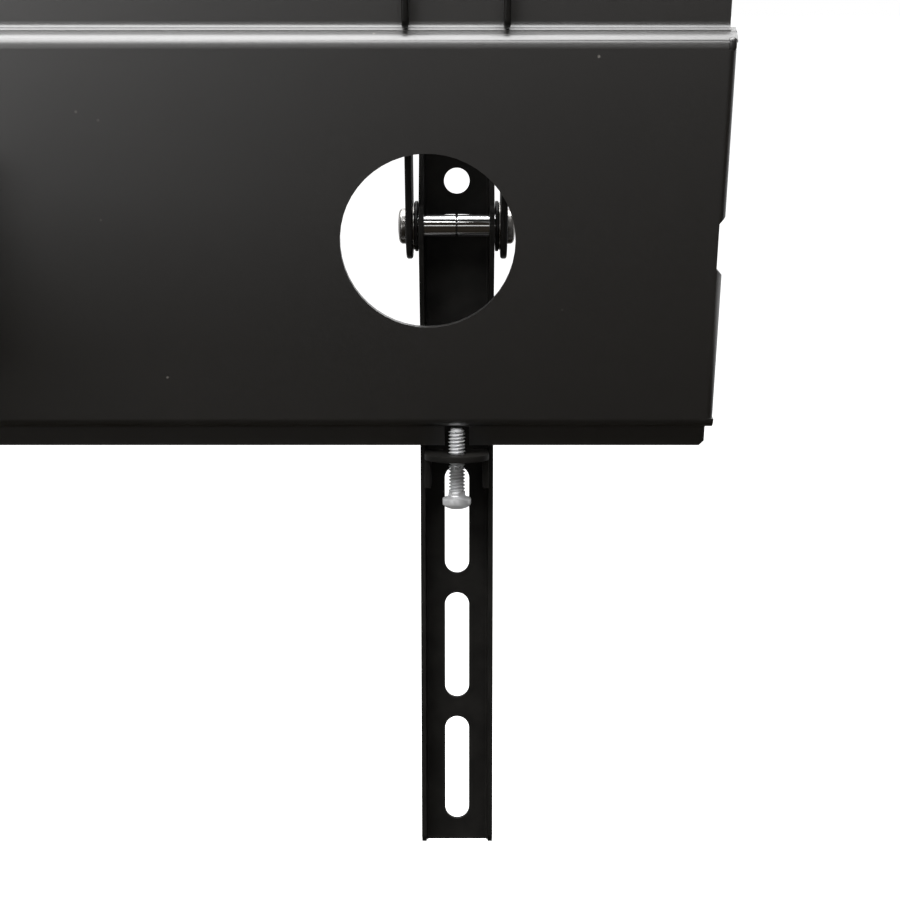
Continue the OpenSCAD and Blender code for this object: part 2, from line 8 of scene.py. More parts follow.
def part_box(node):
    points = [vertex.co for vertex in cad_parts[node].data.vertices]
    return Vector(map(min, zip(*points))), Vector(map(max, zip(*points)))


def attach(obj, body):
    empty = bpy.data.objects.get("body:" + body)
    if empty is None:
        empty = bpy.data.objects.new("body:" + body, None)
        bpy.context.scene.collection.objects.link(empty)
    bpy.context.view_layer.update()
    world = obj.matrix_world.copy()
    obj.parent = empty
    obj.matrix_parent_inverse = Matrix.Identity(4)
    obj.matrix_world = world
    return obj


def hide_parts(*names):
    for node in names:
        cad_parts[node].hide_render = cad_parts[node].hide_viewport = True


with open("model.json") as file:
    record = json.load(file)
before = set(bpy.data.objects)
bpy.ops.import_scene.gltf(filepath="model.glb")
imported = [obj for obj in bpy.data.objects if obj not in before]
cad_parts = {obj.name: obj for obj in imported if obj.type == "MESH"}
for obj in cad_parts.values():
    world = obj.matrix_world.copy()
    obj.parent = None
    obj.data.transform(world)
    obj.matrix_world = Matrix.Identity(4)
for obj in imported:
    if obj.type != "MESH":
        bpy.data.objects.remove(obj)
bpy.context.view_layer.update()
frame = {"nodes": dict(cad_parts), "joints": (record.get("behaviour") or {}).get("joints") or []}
nodes = frame["nodes"]
collection = bpy.context.scene.collection
mm = 0.001
print("frame loaded")

# Where things are, in metres: the head plate's far corner and face, the tilt pivots and the
# rails' lean
sides = ("left", "right")
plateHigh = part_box("head_plate")[1]
faceY = plateHigh.y
joints = {j["name"]: j for j in frame["joints"]}
pivots = {side: Vector(joints["tilt_" + side]["pos_m"]) for side in sides}
screwAxis = Vector(joints["lock_travel_right"]["axis"])
railLean = math.atan2(-screwAxis.y, screwAxis.z)


# The camera stands on the wall's side and looks down at the right end of the plate
cameraSpec = {"lens": 56, "sensor": 36, "near": 0.01, "place": (-0.20234, 0.05962, 0.10557),
              "lookDown": 20.674, "heading": 180, "shift": -0.01444}


def makeCamera(spec):
    data = bpy.data.cameras.new("photoCamera")
    data.lens = spec["lens"]
    data.sensor_width = spec["sensor"]
    data.shift_x = spec["shift"]
    data.clip_start = spec["near"]
    camera = bpy.data.objects.new("photoCamera", data)
    camera.location = spec["place"]
    camera.rotation_euler = (math.radians(90 - spec["lookDown"]), 0,
                             math.radians(spec["heading"]))
    collection.objects.link(camera)
    bpy.context.scene.camera = camera


makeCamera(cameraSpec)
print("camera placed")


# Node helpers

def link(tree, a, b):
    tree.links.new(a, b)


def addNode(tree, kind, **settings):
    made = tree.nodes.new(kind)
    for key, value in settings.items():
        setattr(made, key, value)
    return made


def setInputs(made, **values):
    for key, value in values.items():
        made.inputs[key.replace("_", " ")].default_value = value


def connect(tree, value, socket):
    # a number or a tuple becomes the socket's own value, an output is linked to it
    if isinstance(value, (int, float, tuple)):
        socket.default_value = value
    else:
        link(tree, value, socket)


def addRamp(tree, source, stops):
    ramp = addNode(tree, "ShaderNodeValToRGB")
    line = ramp.color_ramp
    while len(line.elements) < len(stops):
        line.elements.new(0.5)
    for element, (place, shade) in zip(line.elements, stops):
        element.position = place
        element.color = (*shade, 1) if isinstance(shade, tuple) else (shade, shade, shade, 1)
    link(tree, source, ramp.inputs[0])
    return ramp.outputs[0]


def addMath(tree, operation, first, second):
    made = addNode(tree, "ShaderNodeMath", operation=operation)
    connect(tree, first, made.inputs[0])
    connect(tree, second, made.inputs[1])
    return made.outputs[0]


def addNoise(tree, place, scale, detail, roughness):
    noise = addNode(tree, "ShaderNodeTexNoise")
    setInputs(noise, Detail=detail, Roughness=roughness)
    link(tree, place, noise.inputs["Vector"])
    connect(tree, scale, noise.inputs["Scale"])
    return noise.outputs[0]


def addMix(tree, factor, first, second):
    # a colour mix keeps its factor and its colours on these sockets
    mix = addNode(tree, "ShaderNodeMix", data_type="RGBA")
    for place, source in ((0, factor), (6, first), (7, second)):
        link(tree, source, mix.inputs[place])
    return mix.outputs[2]


def addGloss(group, start, source, span):
    gloss = addNode(group, "ShaderNodeMapRange")
    link(group, source, gloss.inputs["Value"])
    setInputs(gloss, From_Min=span[0], From_Max=span[1])
    link(group, start.outputs["Gloss Low"], gloss.inputs["To Min"])
    link(group, start.outputs["Gloss High"], gloss.inputs["To Max"])
    return gloss.outputs[0]


def newGroup(name, inputs, outputs):
    group = bpy.data.node_groups.new(name, "ShaderNodeTree")
    for label, kind, value in inputs:
        socket = group.interface.new_socket(name=label, in_out="INPUT", socket_type=kind)
        socket.default_value = value
    for label, kind in outputs:
        group.interface.new_socket(name=label, in_out="OUTPUT", socket_type=kind)
    start = addNode(group, "NodeGroupInput")
    end = addNode(group, "NodeGroupOutput")
    return group, start, end


# Powder coat: a fine orange-peel skin, slow shade changes and small light specks. A noise is
# given by its scale, detail and roughness; those of skin and cloud take their scale from the
# material

powderSpec = {"skin": (3, 0.6), "cloud": (4, 0.55), "cloudStops": (0.35, 0.7),
              "cells": 110, "dotStops": (0.03, 0.07), "spread": (60, 2, 0.5),
              "spreadStops": (0.56, 0.66), "glossSpan": (0.3, 0.7)}


def makePowderGroup(spec):
    group, start, end = newGroup(
        "powderSkin",
        [("Skin Scale", "NodeSocketFloat", 900), ("Cloud Scale", "NodeSocketFloat", 9),
         ("Base", "NodeSocketColor", (0.02, 0.019, 0.018, 1)),
         ("Cloud", "NodeSocketColor", (0.028, 0.026, 0.024, 1)),
         ("Speck", "NodeSocketColor", (0.3, 0.28, 0.25, 1)),
         ("Speck Amount", "NodeSocketFloat", 0.5), ("Gloss Low", "NodeSocketFloat", 0.4),
         ("Gloss High", "NodeSocketFloat", 0.5)],
        [("Color", "NodeSocketColor"), ("Roughness", "NodeSocketFloat"),
         ("Height", "NodeSocketFloat")])
    place = addNode(group, "ShaderNodeTexCoord").outputs["Object"]
    skin = addNoise(group, place, start.outputs["Skin Scale"], *spec["skin"])
    cloud = addNoise(group, place, start.outputs["Cloud Scale"], *spec["cloud"])
    low, high = spec["cloudStops"]
    cloudMask = addRamp(group, cloud, [(low, 0), (high, 1)])
    # specks are the few cells of a coarse pattern whose middle a second noise lets through
    cell = addNode(group, "ShaderNodeTexVoronoi")
    setInputs(cell, Scale=spec["cells"], Randomness=1)
    link(group, place, cell.inputs["Vector"])
    low, high = spec["dotStops"]
    dot = addRamp(group, cell.outputs["Distance"], [(low, 1), (high, 0)])
    low, high = spec["spreadStops"]
    chosen = addRamp(group, addNoise(group, place, *spec["spread"]), [(low, 0), (high, 1)])
    speck = addMath(group, "MULTIPLY", addMath(group, "MULTIPLY", dot, chosen),
                    start.outputs["Speck Amount"])
    shade = addMix(group, cloudMask, start.outputs["Base"], start.outputs["Cloud"])
    link(group, addMix(group, speck, shade, start.outputs["Speck"]), end.inputs["Color"])
    link(group, addGloss(group, start, skin, spec["glossSpan"]), end.inputs["Roughness"])
    link(group, skin, end.inputs["Height"])
    return group


# Plated metal: drawn or turned lines round or along the piece, smears and a little grime

platedSpec = {"lines": (1, 4, 0.65), "smear": (160, 3, 0.6), "smearStops": (0.4, 0.68),
              "glossSpan": (0.3, 0.7)}


def makePlatedGroup(spec):
    group, start, end = newGroup(
        "platedSkin",
        [("Line Scale", "NodeSocketVector", (40, 40, 900)),
         ("Bright", "NodeSocketColor", (0.85, 0.85, 0.86, 1)),
         ("Dull", "NodeSocketColor", (0.6, 0.6, 0.62, 1)),
         ("Grime", "NodeSocketColor", (0.12, 0.1, 0.08, 1)),
         ("Grime Amount", "NodeSocketFloat", 0.2), ("Gloss Low", "NodeSocketFloat", 0.12),
         ("Gloss High", "NodeSocketFloat", 0.3)],
        [("Color", "NodeSocketColor"), ("Roughness", "NodeSocketFloat"),
         ("Height", "NodeSocketFloat")])
    place = addNode(group, "ShaderNodeTexCoord").outputs["Object"]
    stretch = addNode(group, "ShaderNodeVectorMath", operation="MULTIPLY")
    link(group, place, stretch.inputs[0])
    link(group, start.outputs["Line Scale"], stretch.inputs[1])
    lines = addNoise(group, stretch.outputs[0], *spec["lines"])
    smear = addNoise(group, place, *spec["smear"])
    low, high = spec["smearStops"]
    grime = addMath(group, "MULTIPLY", addRamp(group, smear, [(low, 0), (high, 1)]),
                    start.outputs["Grime Amount"])
    shade = addMix(group, lines, start.outputs["Bright"], start.outputs["Dull"])
    link(group, addMix(group, grime, shade, start.outputs["Grime"]), end.inputs["Color"])
    link(group, addGloss(group, start, smear, spec["glossSpan"]), end.inputs["Roughness"])
    link(group, lines, end.inputs["Height"])
    return group


powderSkin = makePowderGroup(powderSpec)
platedSkin = makePlatedGroup(platedSpec)


def newMaterial(name):
    material = bpy.data.materials.new(name)
    material.use_nodes = True
    return material, material.node_tree, material.node_tree.nodes["Principled BSDF"]


def addBump(tree, height, shader, depth):
    bump = addNode(tree, "ShaderNodeBump")
    setInputs(bump, Distance=depth, Strength=1)
    link(tree, height, bump.inputs["Height"])
    link(tree, bump.outputs[0], shader.inputs["Normal"])


def powderMaterial(name, base, cloud, gloss, specular, specks=0.5, bump=0.00002, skinScale=900,
                   cloudScale=9, coat=0.0, coatGloss=0.4, coatIor=1.5):
    material, tree, shader = newMaterial(name)
    skin = addNode(tree, "ShaderNodeGroup", node_tree=powderSkin)
    setInputs(skin, Skin_Scale=skinScale, Cloud_Scale=cloudScale, Base=(*base, 1),
              Cloud=(*cloud, 1), Speck_Amount=specks, Gloss_Low=gloss[0], Gloss_High=gloss[1])
    link(tree, skin.outputs["Color"], shader.inputs["Base Color"])
    link(tree, skin.outputs["Roughness"], shader.inputs["Roughness"])
    addBump(tree, skin.outputs["Height"], shader, bump)
    shader.inputs["Specular IOR Level"].default_value = specular
    setInputs(shader, Coat_Weight=coat, Coat_Roughness=coatGloss, Coat_IOR=coatIor)
    return material


def platedMaterial(name, bright, dull, gloss, lines=(40, 40, 900), grime=0.2, bump=0.000004,
                   metallic=1.0):
    material, tree, shader = newMaterial(name)
    skin = addNode(tree, "ShaderNodeGroup", node_tree=platedSkin)
    setInputs(skin, Line_Scale=lines, Bright=(*bright, 1), Dull=(*dull, 1), Grime_Amount=grime,
              Gloss_Low=gloss[0], Gloss_High=gloss[1])
    link(tree, skin.outputs["Color"], shader.inputs["Base Color"])
    link(tree, skin.outputs["Roughness"], shader.inputs["Roughness"])
    addBump(tree, skin.outputs["Height"], shader, bump)
    shader.inputs["Metallic"].default_value = metallic
    return material


materials = {
    "plate": powderMaterial("plateSatinBlack", (0.0085, 0.0078, 0.007), (0.011, 0.0098, 0.0085),
                            (0.38, 0.46), 1.0, specks=0.7, bump=0.00004, coat=1, coatGloss=0.38,
                            coatIor=1.9),
    "arm": powderMaterial("armSatinBlack", (0.0085, 0.008, 0.0075), (0.012, 0.0105, 0.0095),
                          (0.38, 0.46), 1.0, specks=0.25, coat=1, coatGloss=0.4, coatIor=1.7),
    "rail": powderMaterial("railBlack", (0.011, 0.0106, 0.0098), (0.019, 0.018, 0.0165),
                           (0.5, 0.62), 0.1, specks=0.5, skinScale=1200, cloudScale=90),
    "hook": powderMaterial("hookBlack", (0.009, 0.0086, 0.008), (0.014, 0.013, 0.012),
                           (0.3, 0.42), 0.3, specks=0.3, skinScale=1200),
    "chrome": platedMaterial("sleeveChrome", (0.82, 0.82, 0.82), (0.7, 0.7, 0.71), (0.05, 0.14),
                             lines=(900, 60, 60), grime=0.12),
    "washer": platedMaterial("washerSteel", (0.75, 0.73, 0.7), (0.5, 0.49, 0.47), (0.22, 0.36),
                             lines=(60, 60, 60), grime=0.3),
    "head": platedMaterial("pivotHeadSteel", (0.55, 0.54, 0.52), (0.36, 0.35, 0.34), (0.2, 0.34),
                           lines=(60, 400, 400), grime=0.45, bump=0.00001),
    "zinc": platedMaterial("screwZinc", (0.96, 0.96, 0.95), (0.8, 0.82, 0.86), (0.26, 0.4),
                           lines=(700, 700, 200), grime=0.12, metallic=0.45),
    "bolt": platedMaterial("boltZinc", (0.62, 0.62, 0.63), (0.45, 0.45, 0.46), (0.26, 0.42),
                           lines=(300, 300, 300), grime=0.3),
    "nylon": powderMaterial("bushNylon", (0.02, 0.02, 0.021), (0.03, 0.03, 0.03), (0.5, 0.62),
                            0.5, specks=0.0, skinScale=400),
}
finishOf = {"head_plate": "plate", "tv_rail": "rail", "lock_bracket": "rail",
            "hook_bracket": "hook", "sleeve": "chrome", "pivot_washers": "washer",
            "lock_screw": "zinc"}


def finishFor(name):
    for start, finish in finishOf.items():
        if name.startswith(start):
            return finish
    if name.endswith("bushes"):
        return "nylon"
    if name.endswith(("pin", "nut", "bolts", "nuts")):
        return "bolt"
    return "arm"


for name, node in nodes.items():
    node.data.materials.clear()
    node.data.materials.append(materials[finishFor(name)])
print("materials made")


# Mesh helpers; an edge that turns by more than this stays sharp

sharpTurn = math.radians(38)


def finishPiece(name, verts, faces, material, body):
    mesh = bpy.data.meshes.new(name)
    mesh.from_pydata([tuple(v) for v in verts], [], faces)
    mesh.validate()
    piece = bpy.data.objects.new(name, mesh)
    collection.objects.link(piece)
    work = bmesh.new()
    work.from_mesh(mesh)
    bmesh.ops.recalc_face_normals(work, faces=work.faces)
    work.to_mesh(mesh)
    work.free()
    mesh.polygons.foreach_set("use_smooth", [True] * len(mesh.polygons))
    mesh.set_sharp_from_angle(angle=sharpTurn)
    mesh.materials.append(materials[material])
    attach(piece, body)
    return piece


def turned(profile, steps):
    # rings of (radius, height) points round Z; a radius of 0 makes a point, and a third value
    # turns the ring into a polygon with that many sides and the radius to its flats
    verts, faces, rings = [], [], []
    for radius, height, *corners in profile:
        if radius == 0:
            rings.append([len(verts)])
            verts.append(Vector((0, 0, height)))
            continue
        rings.append([len(verts) + k for k in range(steps)])
        for k in range(steps):
            a = 2 * math.pi * k / steps
            r = radius
            if corners:
                part = 2 * math.pi / corners[0]
                r = radius / math.cos((a + part / 2) % part - part / 2)
            verts.append(Vector((r * math.cos(a), r * math.sin(a), height)))
    for low, high in zip(rings, rings[1:]):
        for k in range(steps):
            j = (k + 1) % steps
            if len(low) == 1:
                faces.append((low[0], high[j], high[k]))
            elif len(high) == 1:
                faces.append((low[k], low[j], high[0]))
            else:
                faces.append((low[k], low[j], high[j], high[k]))
    return verts, faces


# Sheet pieces: copies of the CAD sheets whose sharp edges are broken, so that they catch light

sheetSpecs = {"head_plate": {"finish": "plate", "slot": "plate_black"}}
for side in sides:
    sheetSpecs["hook_bracket_" + side] = {"finish": "hook", "slot": "rail_black", "edge": 0.8,
                                          "rows": 4, "clamp": False}
    sheetSpecs["tv_rail_" + side] = {"finish": "rail", "slot": "rail_black", "edge": 0.25,
                                     "rows": 2, "clamp": True}
    sheetSpecs["lock_bracket_" + side] = {"finish": "rail", "slot": "rail_black", "edge": 0.4,
                                          "rows": 2, "clamp": True}
softSpec = {"merge": 0.000002, "flatTurn": 0.5, "edgeTurn": 50, "sharpTurn": 32, "flat": 0.9999}
foldSpec = {"lip": 21.5, "step": 7, "outside": 5.4, "inside": 3.2, "lower": 0.85, "cut": 0.3,
            "past": 1, "reach": 1.2, "touch": 0.001}


def cutAcross(work, axis, place, above, touch):
    # cuts the faces that reach above a height along a level or an upright plane
    across, point = Vector((0, 0, 0)), Vector((0, 0, 0))
    across[axis] = 1
    point[axis] = place
    near = [f for f in work.faces if max(v.co.z for v in f.verts) > above]
    geom = near + list({e for f in near for e in f.edges})
    geom += list({v for f in near for v in f.verts})
    bmesh.ops.bisect_plane(work, geom=geom, dist=touch, plane_co=point, plane_no=across)


def roundFolds(work, spec):
    # the upper step's folds are pressed with wider bends than plain sheet work
    top = plateHigh.z - spec["lip"] * mm
    low = top - spec["lower"] * mm
    outside, inside, cut = spec["outside"] * mm, spec["inside"] * mm, spec["cut"] * mm
    touch = spec["touch"] * mm
    lipFace = faceY - spec["step"] * mm
    for k in range(int((outside + inside) / cut) + 2):
        cutAcross(work, 2, low - outside + k * cut, low - 2 * outside, touch)
        if lipFace + k * cut < faceY:
            cutAcross(work, 1, lipFace + k * cut, low - 2 * outside, touch)
    for v in work.verts:
        y, z = v.co.y, v.co.z
        if low < z <= top + touch and y > lipFace + spec["past"] * mm:
            v.co.z = z = low
        dy, dz = y - (faceY - outside), z - (low - outside)
        far = math.hypot(dy, dz)
        if dy > 0 and dz > 0 and far > outside:
            v.co.y = faceY - outside + dy * outside / far
            v.co.z = low - outside + dz * outside / far
            continue
        dy, dz = y - (lipFace + inside), z - (low + inside)
        far = math.hypot(dy, dz)
        if dy < 0 and dz < 0 and inside < far < inside + spec["reach"] * mm:
            v.co.y = lipFace + inside + dy * inside / far
            v.co.z = low + inside + dz * inside / far


def bodyOf(name):
    if name.startswith(("tv_rail", "lock_bracket")):
        return "rail_" + name.rsplit("_", 1)[1]
    return "head"


def breakEdges(work, name, spec):
    bmesh.ops.dissolve_limit(work, angle_limit=math.radians(softSpec["flatTurn"]),
                             verts=work.verts, edges=work.edges)
    sharp = [e for e in work.edges if len(e.link_faces) == 2
             and e.calc_face_angle(0) > math.radians(softSpec["edgeTurn"])]
    bmesh.ops.bevel(work, geom=sharp, offset=spec["edge"] * mm, segments=spec["rows"],
                    profile=0.5, affect="EDGES", clamp_overlap=spec["clamp"])
    low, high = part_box(name)
    for v in work.verts:
        for axis in range(3):
            v.co[axis] = min(max(v.co[axis], low[axis]), high[axis])


def softSheet(name, spec):
    folded = name == "head_plate"
    work = bmesh.new()
    work.from_mesh(nodes[name].data)
    bmesh.ops.remove_doubles(work, verts=work.verts, dist=softSpec["merge"])
    if folded:
        roundFolds(work, foldSpec)
    else:
        breakEdges(work, name, spec)
    mesh = bpy.data.meshes.new(name + "Soft")
    work.to_mesh(mesh)
    work.free()
    mesh.set_sharp_from_angle(angle=math.radians(softSpec["sharpTurn"]))
    piece = bpy.data.objects.new(name + "Soft", mesh)
    collection.objects.link(piece)
    if folded:
        # flat faces stay flat, and only the bends and rims are shaded round
        for face in mesh.polygons:
            face.use_smooth = max(abs(part) for part in face.normal) < softSpec["flat"]
    else:
        mesh.polygons.foreach_set("use_smooth", [True] * len(mesh.polygons))
        flatten = piece.modifiers.new("flatFaces", "WEIGHTED_NORMAL")
        flatten.keep_sharp = True
    mesh.materials.append(materials[spec["finish"]])
    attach(piece, bodyOf(name))
    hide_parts(name)


for name, spec in sheetSpecs.items():
    softSheet(name, spec)
print("sheets made")


# Curls: the pressed corners that close the gaps between the plate's ends and its upper step

curlSpec = {"in": 1.75, "wide": 3.1, "behind": 2.55, "deep": 4.7, "round": 1.2, "rows": 4,
            "from": 64.4, "to": 69}


def endCurl(name, outward, spec):
    work = bmesh.new()
    bmesh.ops.create_cube(work, size=1)
    size = (spec["wide"], spec["deep"], spec["to"] - spec["from"])
    middle = Vector((outward * (plateHigh.x - spec["in"] * mm), faceY - spec["behind"] * mm,
                     (spec["from"] + spec["to"]) / 2 * mm))
    for v in work.verts:
        v.co = middle + Vector([v.co[axis] * size[axis] * mm for axis in range(3)])
    bmesh.ops.bevel(work, geom=list(work.edges), offset=spec["round"] * mm,
                    segments=spec["rows"], profile=0.5, affect="EDGES", clamp_overlap=True)
    verts = [v.co.copy() for v in work.verts]
    work.verts.index_update()
    faces = [[v.index for v in f.verts] for f in work.faces]
    work.free()
    finishPiece(name, verts, faces, "plate", "head")


endCurl("endCurlLeft", 1, curlSpec)
endCurl("endCurlRight", -1, curlSpec)
print("curls made")


# Pivots: bright half sleeves with flat round heads, black spacers and thin steel washers

sleeveSpec = {"radius": 4.5, "half": 18.55, "joint": 0.35, "chamfer": 0.3, "head": 6.5,
              "high": 3, "rim": 0.35, "crown": 1.1, "shoulder": 0.6, "round": 2.2,
              "swell": 0.45, "rows": 8, "socket": 2, "land": 0.9, "deep": 1.9, "flats": 6,
              "steps": 64, "seat": 0.05}
washerSpec = {"bore": 4.6, "edge": 0.25, "steps": 64, "hookSheet": 2.4,
              "spacer": {"outer": 9.3, "thick": 1.15}, "steel": {"outer": 8.7, "thick": 0.75}}


def sleeveProfile(spec):
    gap, head, half = spec["joint"] / 2, spec["head"], spec["half"]
    top = half + spec["high"]
    shoulder = top - spec["crown"] - spec["shoulder"]
    bend = spec["round"]
    profile = [(0, gap), (spec["radius"] - spec["chamfer"], gap),
               (spec["radius"], gap + spec["chamfer"]), (spec["radius"], half),
               (head - spec["rim"], half), (head, half + spec["rim"]), (head, shoulder)]
    for k in range(1, spec["rows"] + 1):
        a = math.pi / 2 * k / spec["rows"]
        profile.append((head - bend + bend * math.cos(a),
                        shoulder + (spec["crown"] + spec["swell"]) * math.sin(a)))
    return profile + [(spec["socket"] + spec["land"], top), (spec["socket"], top, spec["flats"]),
                      (spec["socket"], top - spec["deep"], spec["flats"]),
                      (0, top - spec["deep"])]


def ringProfile(inner, outer, start, thick, edge):
    return [(inner, start), (outer - edge, start), (outer, start + edge),
            (outer, start + thick - edge), (outer - edge, start + thick), (inner, start + thick),
            (inner, start)]


def alongX(side, verts, sign):
    turn = Matrix.Rotation(math.radians(90 * sign), 4, "Y")
    return [pivots[side] + turn @ (mm * v) for v in verts]


def makeSleeve(side, half, sign, spec):
    verts, faces = turned(sleeveProfile(spec), spec["steps"])
    sleeve = finishPiece("halfSleeve_" + half + "_" + side, alongX(side, verts, sign), faces,
                         "chrome", "head")
    sleeve.data.materials.append(materials["head"])
    for face in sleeve.data.polygons:
        if abs(face.center.x - pivots[side].x) > (spec["half"] - spec["seat"]) * mm:
            face.material_index = 1
    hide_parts("sleeve_" + half + "_" + side)


def makeWashers(side, spec):
    # on both sides of the rail a black spacer, with a thin steel washer between it and the ear
    verts, faces, finishes = [], [], []
    spacer, steel = spec["spacer"], spec["steel"]
    start = sleeveSpec["half"] - spec["hookSheet"] - spacer["thick"] - steel["thick"]
    for sign in (-1, 1):
        for ring, place, finish in ((spacer, start, 1), (steel, start + spacer["thick"], 0)):
            ringVerts, ringFaces = turned(
                ringProfile(spec["bore"], ring["outer"], place, ring["thick"], spec["edge"]),
                spec["steps"])
            first = len(verts)
            verts.extend(alongX(side, ringVerts, sign))
            faces.extend([tuple(first + i for i in face) for face in ringFaces])
            finishes.extend([finish] * len(ringFaces))
    washers = finishPiece("pivotWashers_" + side, verts, faces, "washer", "head")
    washers.data.materials.append(materials["hook"])
    for face, finish in zip(washers.data.polygons, finishes):
        face.material_index = finish
    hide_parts("pivot_washers_" + side)


for side in sides:
    outward = 1 if pivots[side].x > 0 else -1
    makeSleeve(side, "outer", outward, sleeveSpec)
    makeSleeve(side, "inner", -outward, sleeveSpec)
    makeWashers(side, washerSpec)
print("pivots made")


# Lock screws: a coarse rolled thread, and a neck that flares into a low round head. Heights
# count from the head's seat; the last four values place the tip below the pivot

screwSpec = {"thread": 3.175, "root": 2.3, "pitch": 1.3, "crest": 0.12, "slope": 0.8,
             "shaft": 26.2, "lead": 1.2, "leadIn": 0.9, "rootIn": 0.35, "plain": 1.6,
             "flare": ((3.175, 0.9), (3.5, 0.35), (4.3, 0.02), (4.9, -0.1), (5.3, -0.4),
                       (5.4, -0.9), (5.35, -2.2)),
             "head": 5.4, "crown": 2.2, "dome": 2.4, "domeRows": 8, "steps": 48, "rows": 10,
             "merge": 0.000001, "axisFront": 2.7, "tipEdge": 2.175, "plateHalf": 71.5,
             "tipGap": 0.3}


def threadHeight(turnsUp, spec):
    # a rolled thread: flat crests, sloping sides, round roots
    part = turnsUp - math.floor(turnsUp)
    wave = abs(2 * part - 1)
    return min(1, max(0, (wave - spec["crest"]) / spec["slope"]))


def screwMesh(spec):
    steps, shaft, plain = spec["steps"], spec["shaft"], spec["plain"]
    verts, faces = [], []
    rows = int((shaft - plain) / (spec["pitch"] / spec["rows"]))
    for row in range(rows + 1):
        z = plain + (shaft - plain) * row / rows
        fade = min(1, (z - plain) / spec["pitch"])
        tip = min(1, (shaft - z) / spec["lead"])
        outer = spec["thread"] - (1 - tip) * spec["leadIn"]
        inner = spec["root"] - (1 - tip) * spec["rootIn"]
        low = inner + (outer - inner) * (1 - fade)
        for k in range(steps):
            a = 2 * math.pi * k / steps
            r = low + (outer - low) * threadHeight(z / spec["pitch"] - k / steps, spec)
            verts.append(Vector((r * math.cos(a), r * math.sin(a), z)))
    for row in range(rows):
        for k in range(steps):
            j = (k + 1) % steps
            faces.append((row * steps + k, row * steps + j, (row + 1) * steps + j,
                          (row + 1) * steps + k))
    top = len(verts)
    verts.append(Vector((0, 0, shaft)))
    for k in range(steps):
        faces.append((rows * steps + k, rows * steps + (k + 1) % steps, top))
    # the flare and the head hang below the first row
    profile = [(spec["thread"], plain), *spec["flare"]]
    for k in range(1, spec["domeRows"]):
        a = math.pi / 2 * k / spec["domeRows"]
        profile.append((spec["head"] * math.cos(a), -spec["crown"] - spec["dome"] * math.sin(a)))
    profile.append((0, -spec["crown"] - spec["dome"]))
    more, moreFaces = turned(profile[::-1], steps)
    start = len(verts)
    verts.extend(more)
    faces.extend([tuple(start + i for i in face) for face in moreFaces])
    return verts, faces


def makeScrew(side, spec):
    verts, faces = screwMesh(spec)
    turn = Matrix.Rotation(railLean, 4, "X")
    tipDown = (spec["plateHalf"] + spec["tipGap"]
               + (spec["axisFront"] + spec["tipEdge"]) * math.sin(railLean)) / math.cos(railLean)
    base = Vector((0, spec["axisFront"], -tipDown - spec["shaft"]))
    placed = [pivots[side] + turn @ (mm * (base + v)) for v in verts]
    screw = finishPiece("lockScrew_" + side, placed, faces, "zinc", "lock_screw_" + side)
    work = bmesh.new()
    work.from_mesh(screw.data)
    bmesh.ops.remove_doubles(work, verts=work.verts, dist=spec["merge"])
    work.to_mesh(screw.data)
    work.free()
    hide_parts("lock_screw_" + side)


for side in sides:
    makeScrew(side, screwSpec)
print("lock screws made")


# Weld beads: uneven ripples where the arms' tubes meet their knuckles

beadSpec = {"radius": 1.3, "ripple": 0.22, "step": 1.1, "rings": 3, "sides": 8, "wobble": 0.12,
            "wobbleTurns": (1.7, 0.31), "steep": 0.9, "cornerRows": 4}
weldSpecs = {"rear_arm": {"from": "wall_swivel", "to": "elbow", "wide": 26, "high": 44,
                          "corner": 4, "knuckle": 15},
             "front_arm": {"from": "elbow", "to": "head_swivel", "wide": 24, "high": 34,
                           "corner": 4, "knuckle": 15}}


def weldBead(name, loop, body, spec):
    # a bead of overlapping ripples laid along a closed line of points, in metres
    laid = []
    for a, b in zip(loop, loop[1:] + loop[:1]):
        count = max(1, round((b - a).length / (spec["step"] * mm / spec["rings"])))
        laid.extend(a.lerp(b, k / count) for k in range(count))
    verts, faces, around, total = [], [], spec["sides"], len(laid)
    quick, slow = spec["wobbleTurns"]
    for k, point in enumerate(laid):
        along = (laid[(k + 1) % total] - laid[k - 1]).normalized()
        across = along.orthogonal().normalized()
        if abs(along.z) < spec["steep"]:
            across = along.cross(Vector((0, 0, 1))).normalized()
        up = along.cross(across)
        wave = abs(math.sin(math.pi * k / spec["rings"]))
        r = (spec["radius"] + spec["ripple"] * (wave - 0.5)
             + spec["wobble"] * math.sin(quick * k) * math.sin(slow * k)) * mm
        for n in range(around):
            a = 2 * math.pi * n / around
            verts.append(point + across * (r * math.cos(a)) + up * (r * math.sin(a)))
    for k in range(total):
        j = (k + 1) % total
        for n in range(around):
            m = (n + 1) % around
            faces.append((k * around + n, k * around + m, j * around + m, j * around + n))
    finishPiece(name, verts, faces, "arm", body)


def tubeWelds(arm, spec):
    # rounded rectangles round both ends of a tube, at its knuckles' skins
    near, far = (Vector(joints[spec[end]]["pos_m"]) for end in ("from", "to"))
    along = (far - near).normalized()
    across = along.cross(Vector((0, 0, 1))).normalized()
    wide, high, corner = (spec[key] * mm for key in ("wide", "high", "corner"))
    rows = beadSpec["cornerRows"]
    for end, base, way in (("Near", near, along), ("Far", far, -along)):
        loop = []
        for sx, sz, first in ((1, 1, 0), (-1, 1, 90), (-1, -1, 180), (1, -1, 270)):
            for k in range(rows + 1):
                turn = math.radians(first + 90 * k / rows)
                x = sx * (wide / 2 - corner) + corner * math.cos(turn)
                z = sz * (high / 2 - corner) + corner * math.sin(turn)
                # the bead follows the round knuckle, so it lies nearer its axis at the middle
                reach = math.sqrt(max(0, (spec["knuckle"] * mm) ** 2 - x * x))
                loop.append(base + way * reach + across * x + Vector((0, 0, z)))
        weldBead(arm + "Weld" + end, loop, arm, beadSpec)


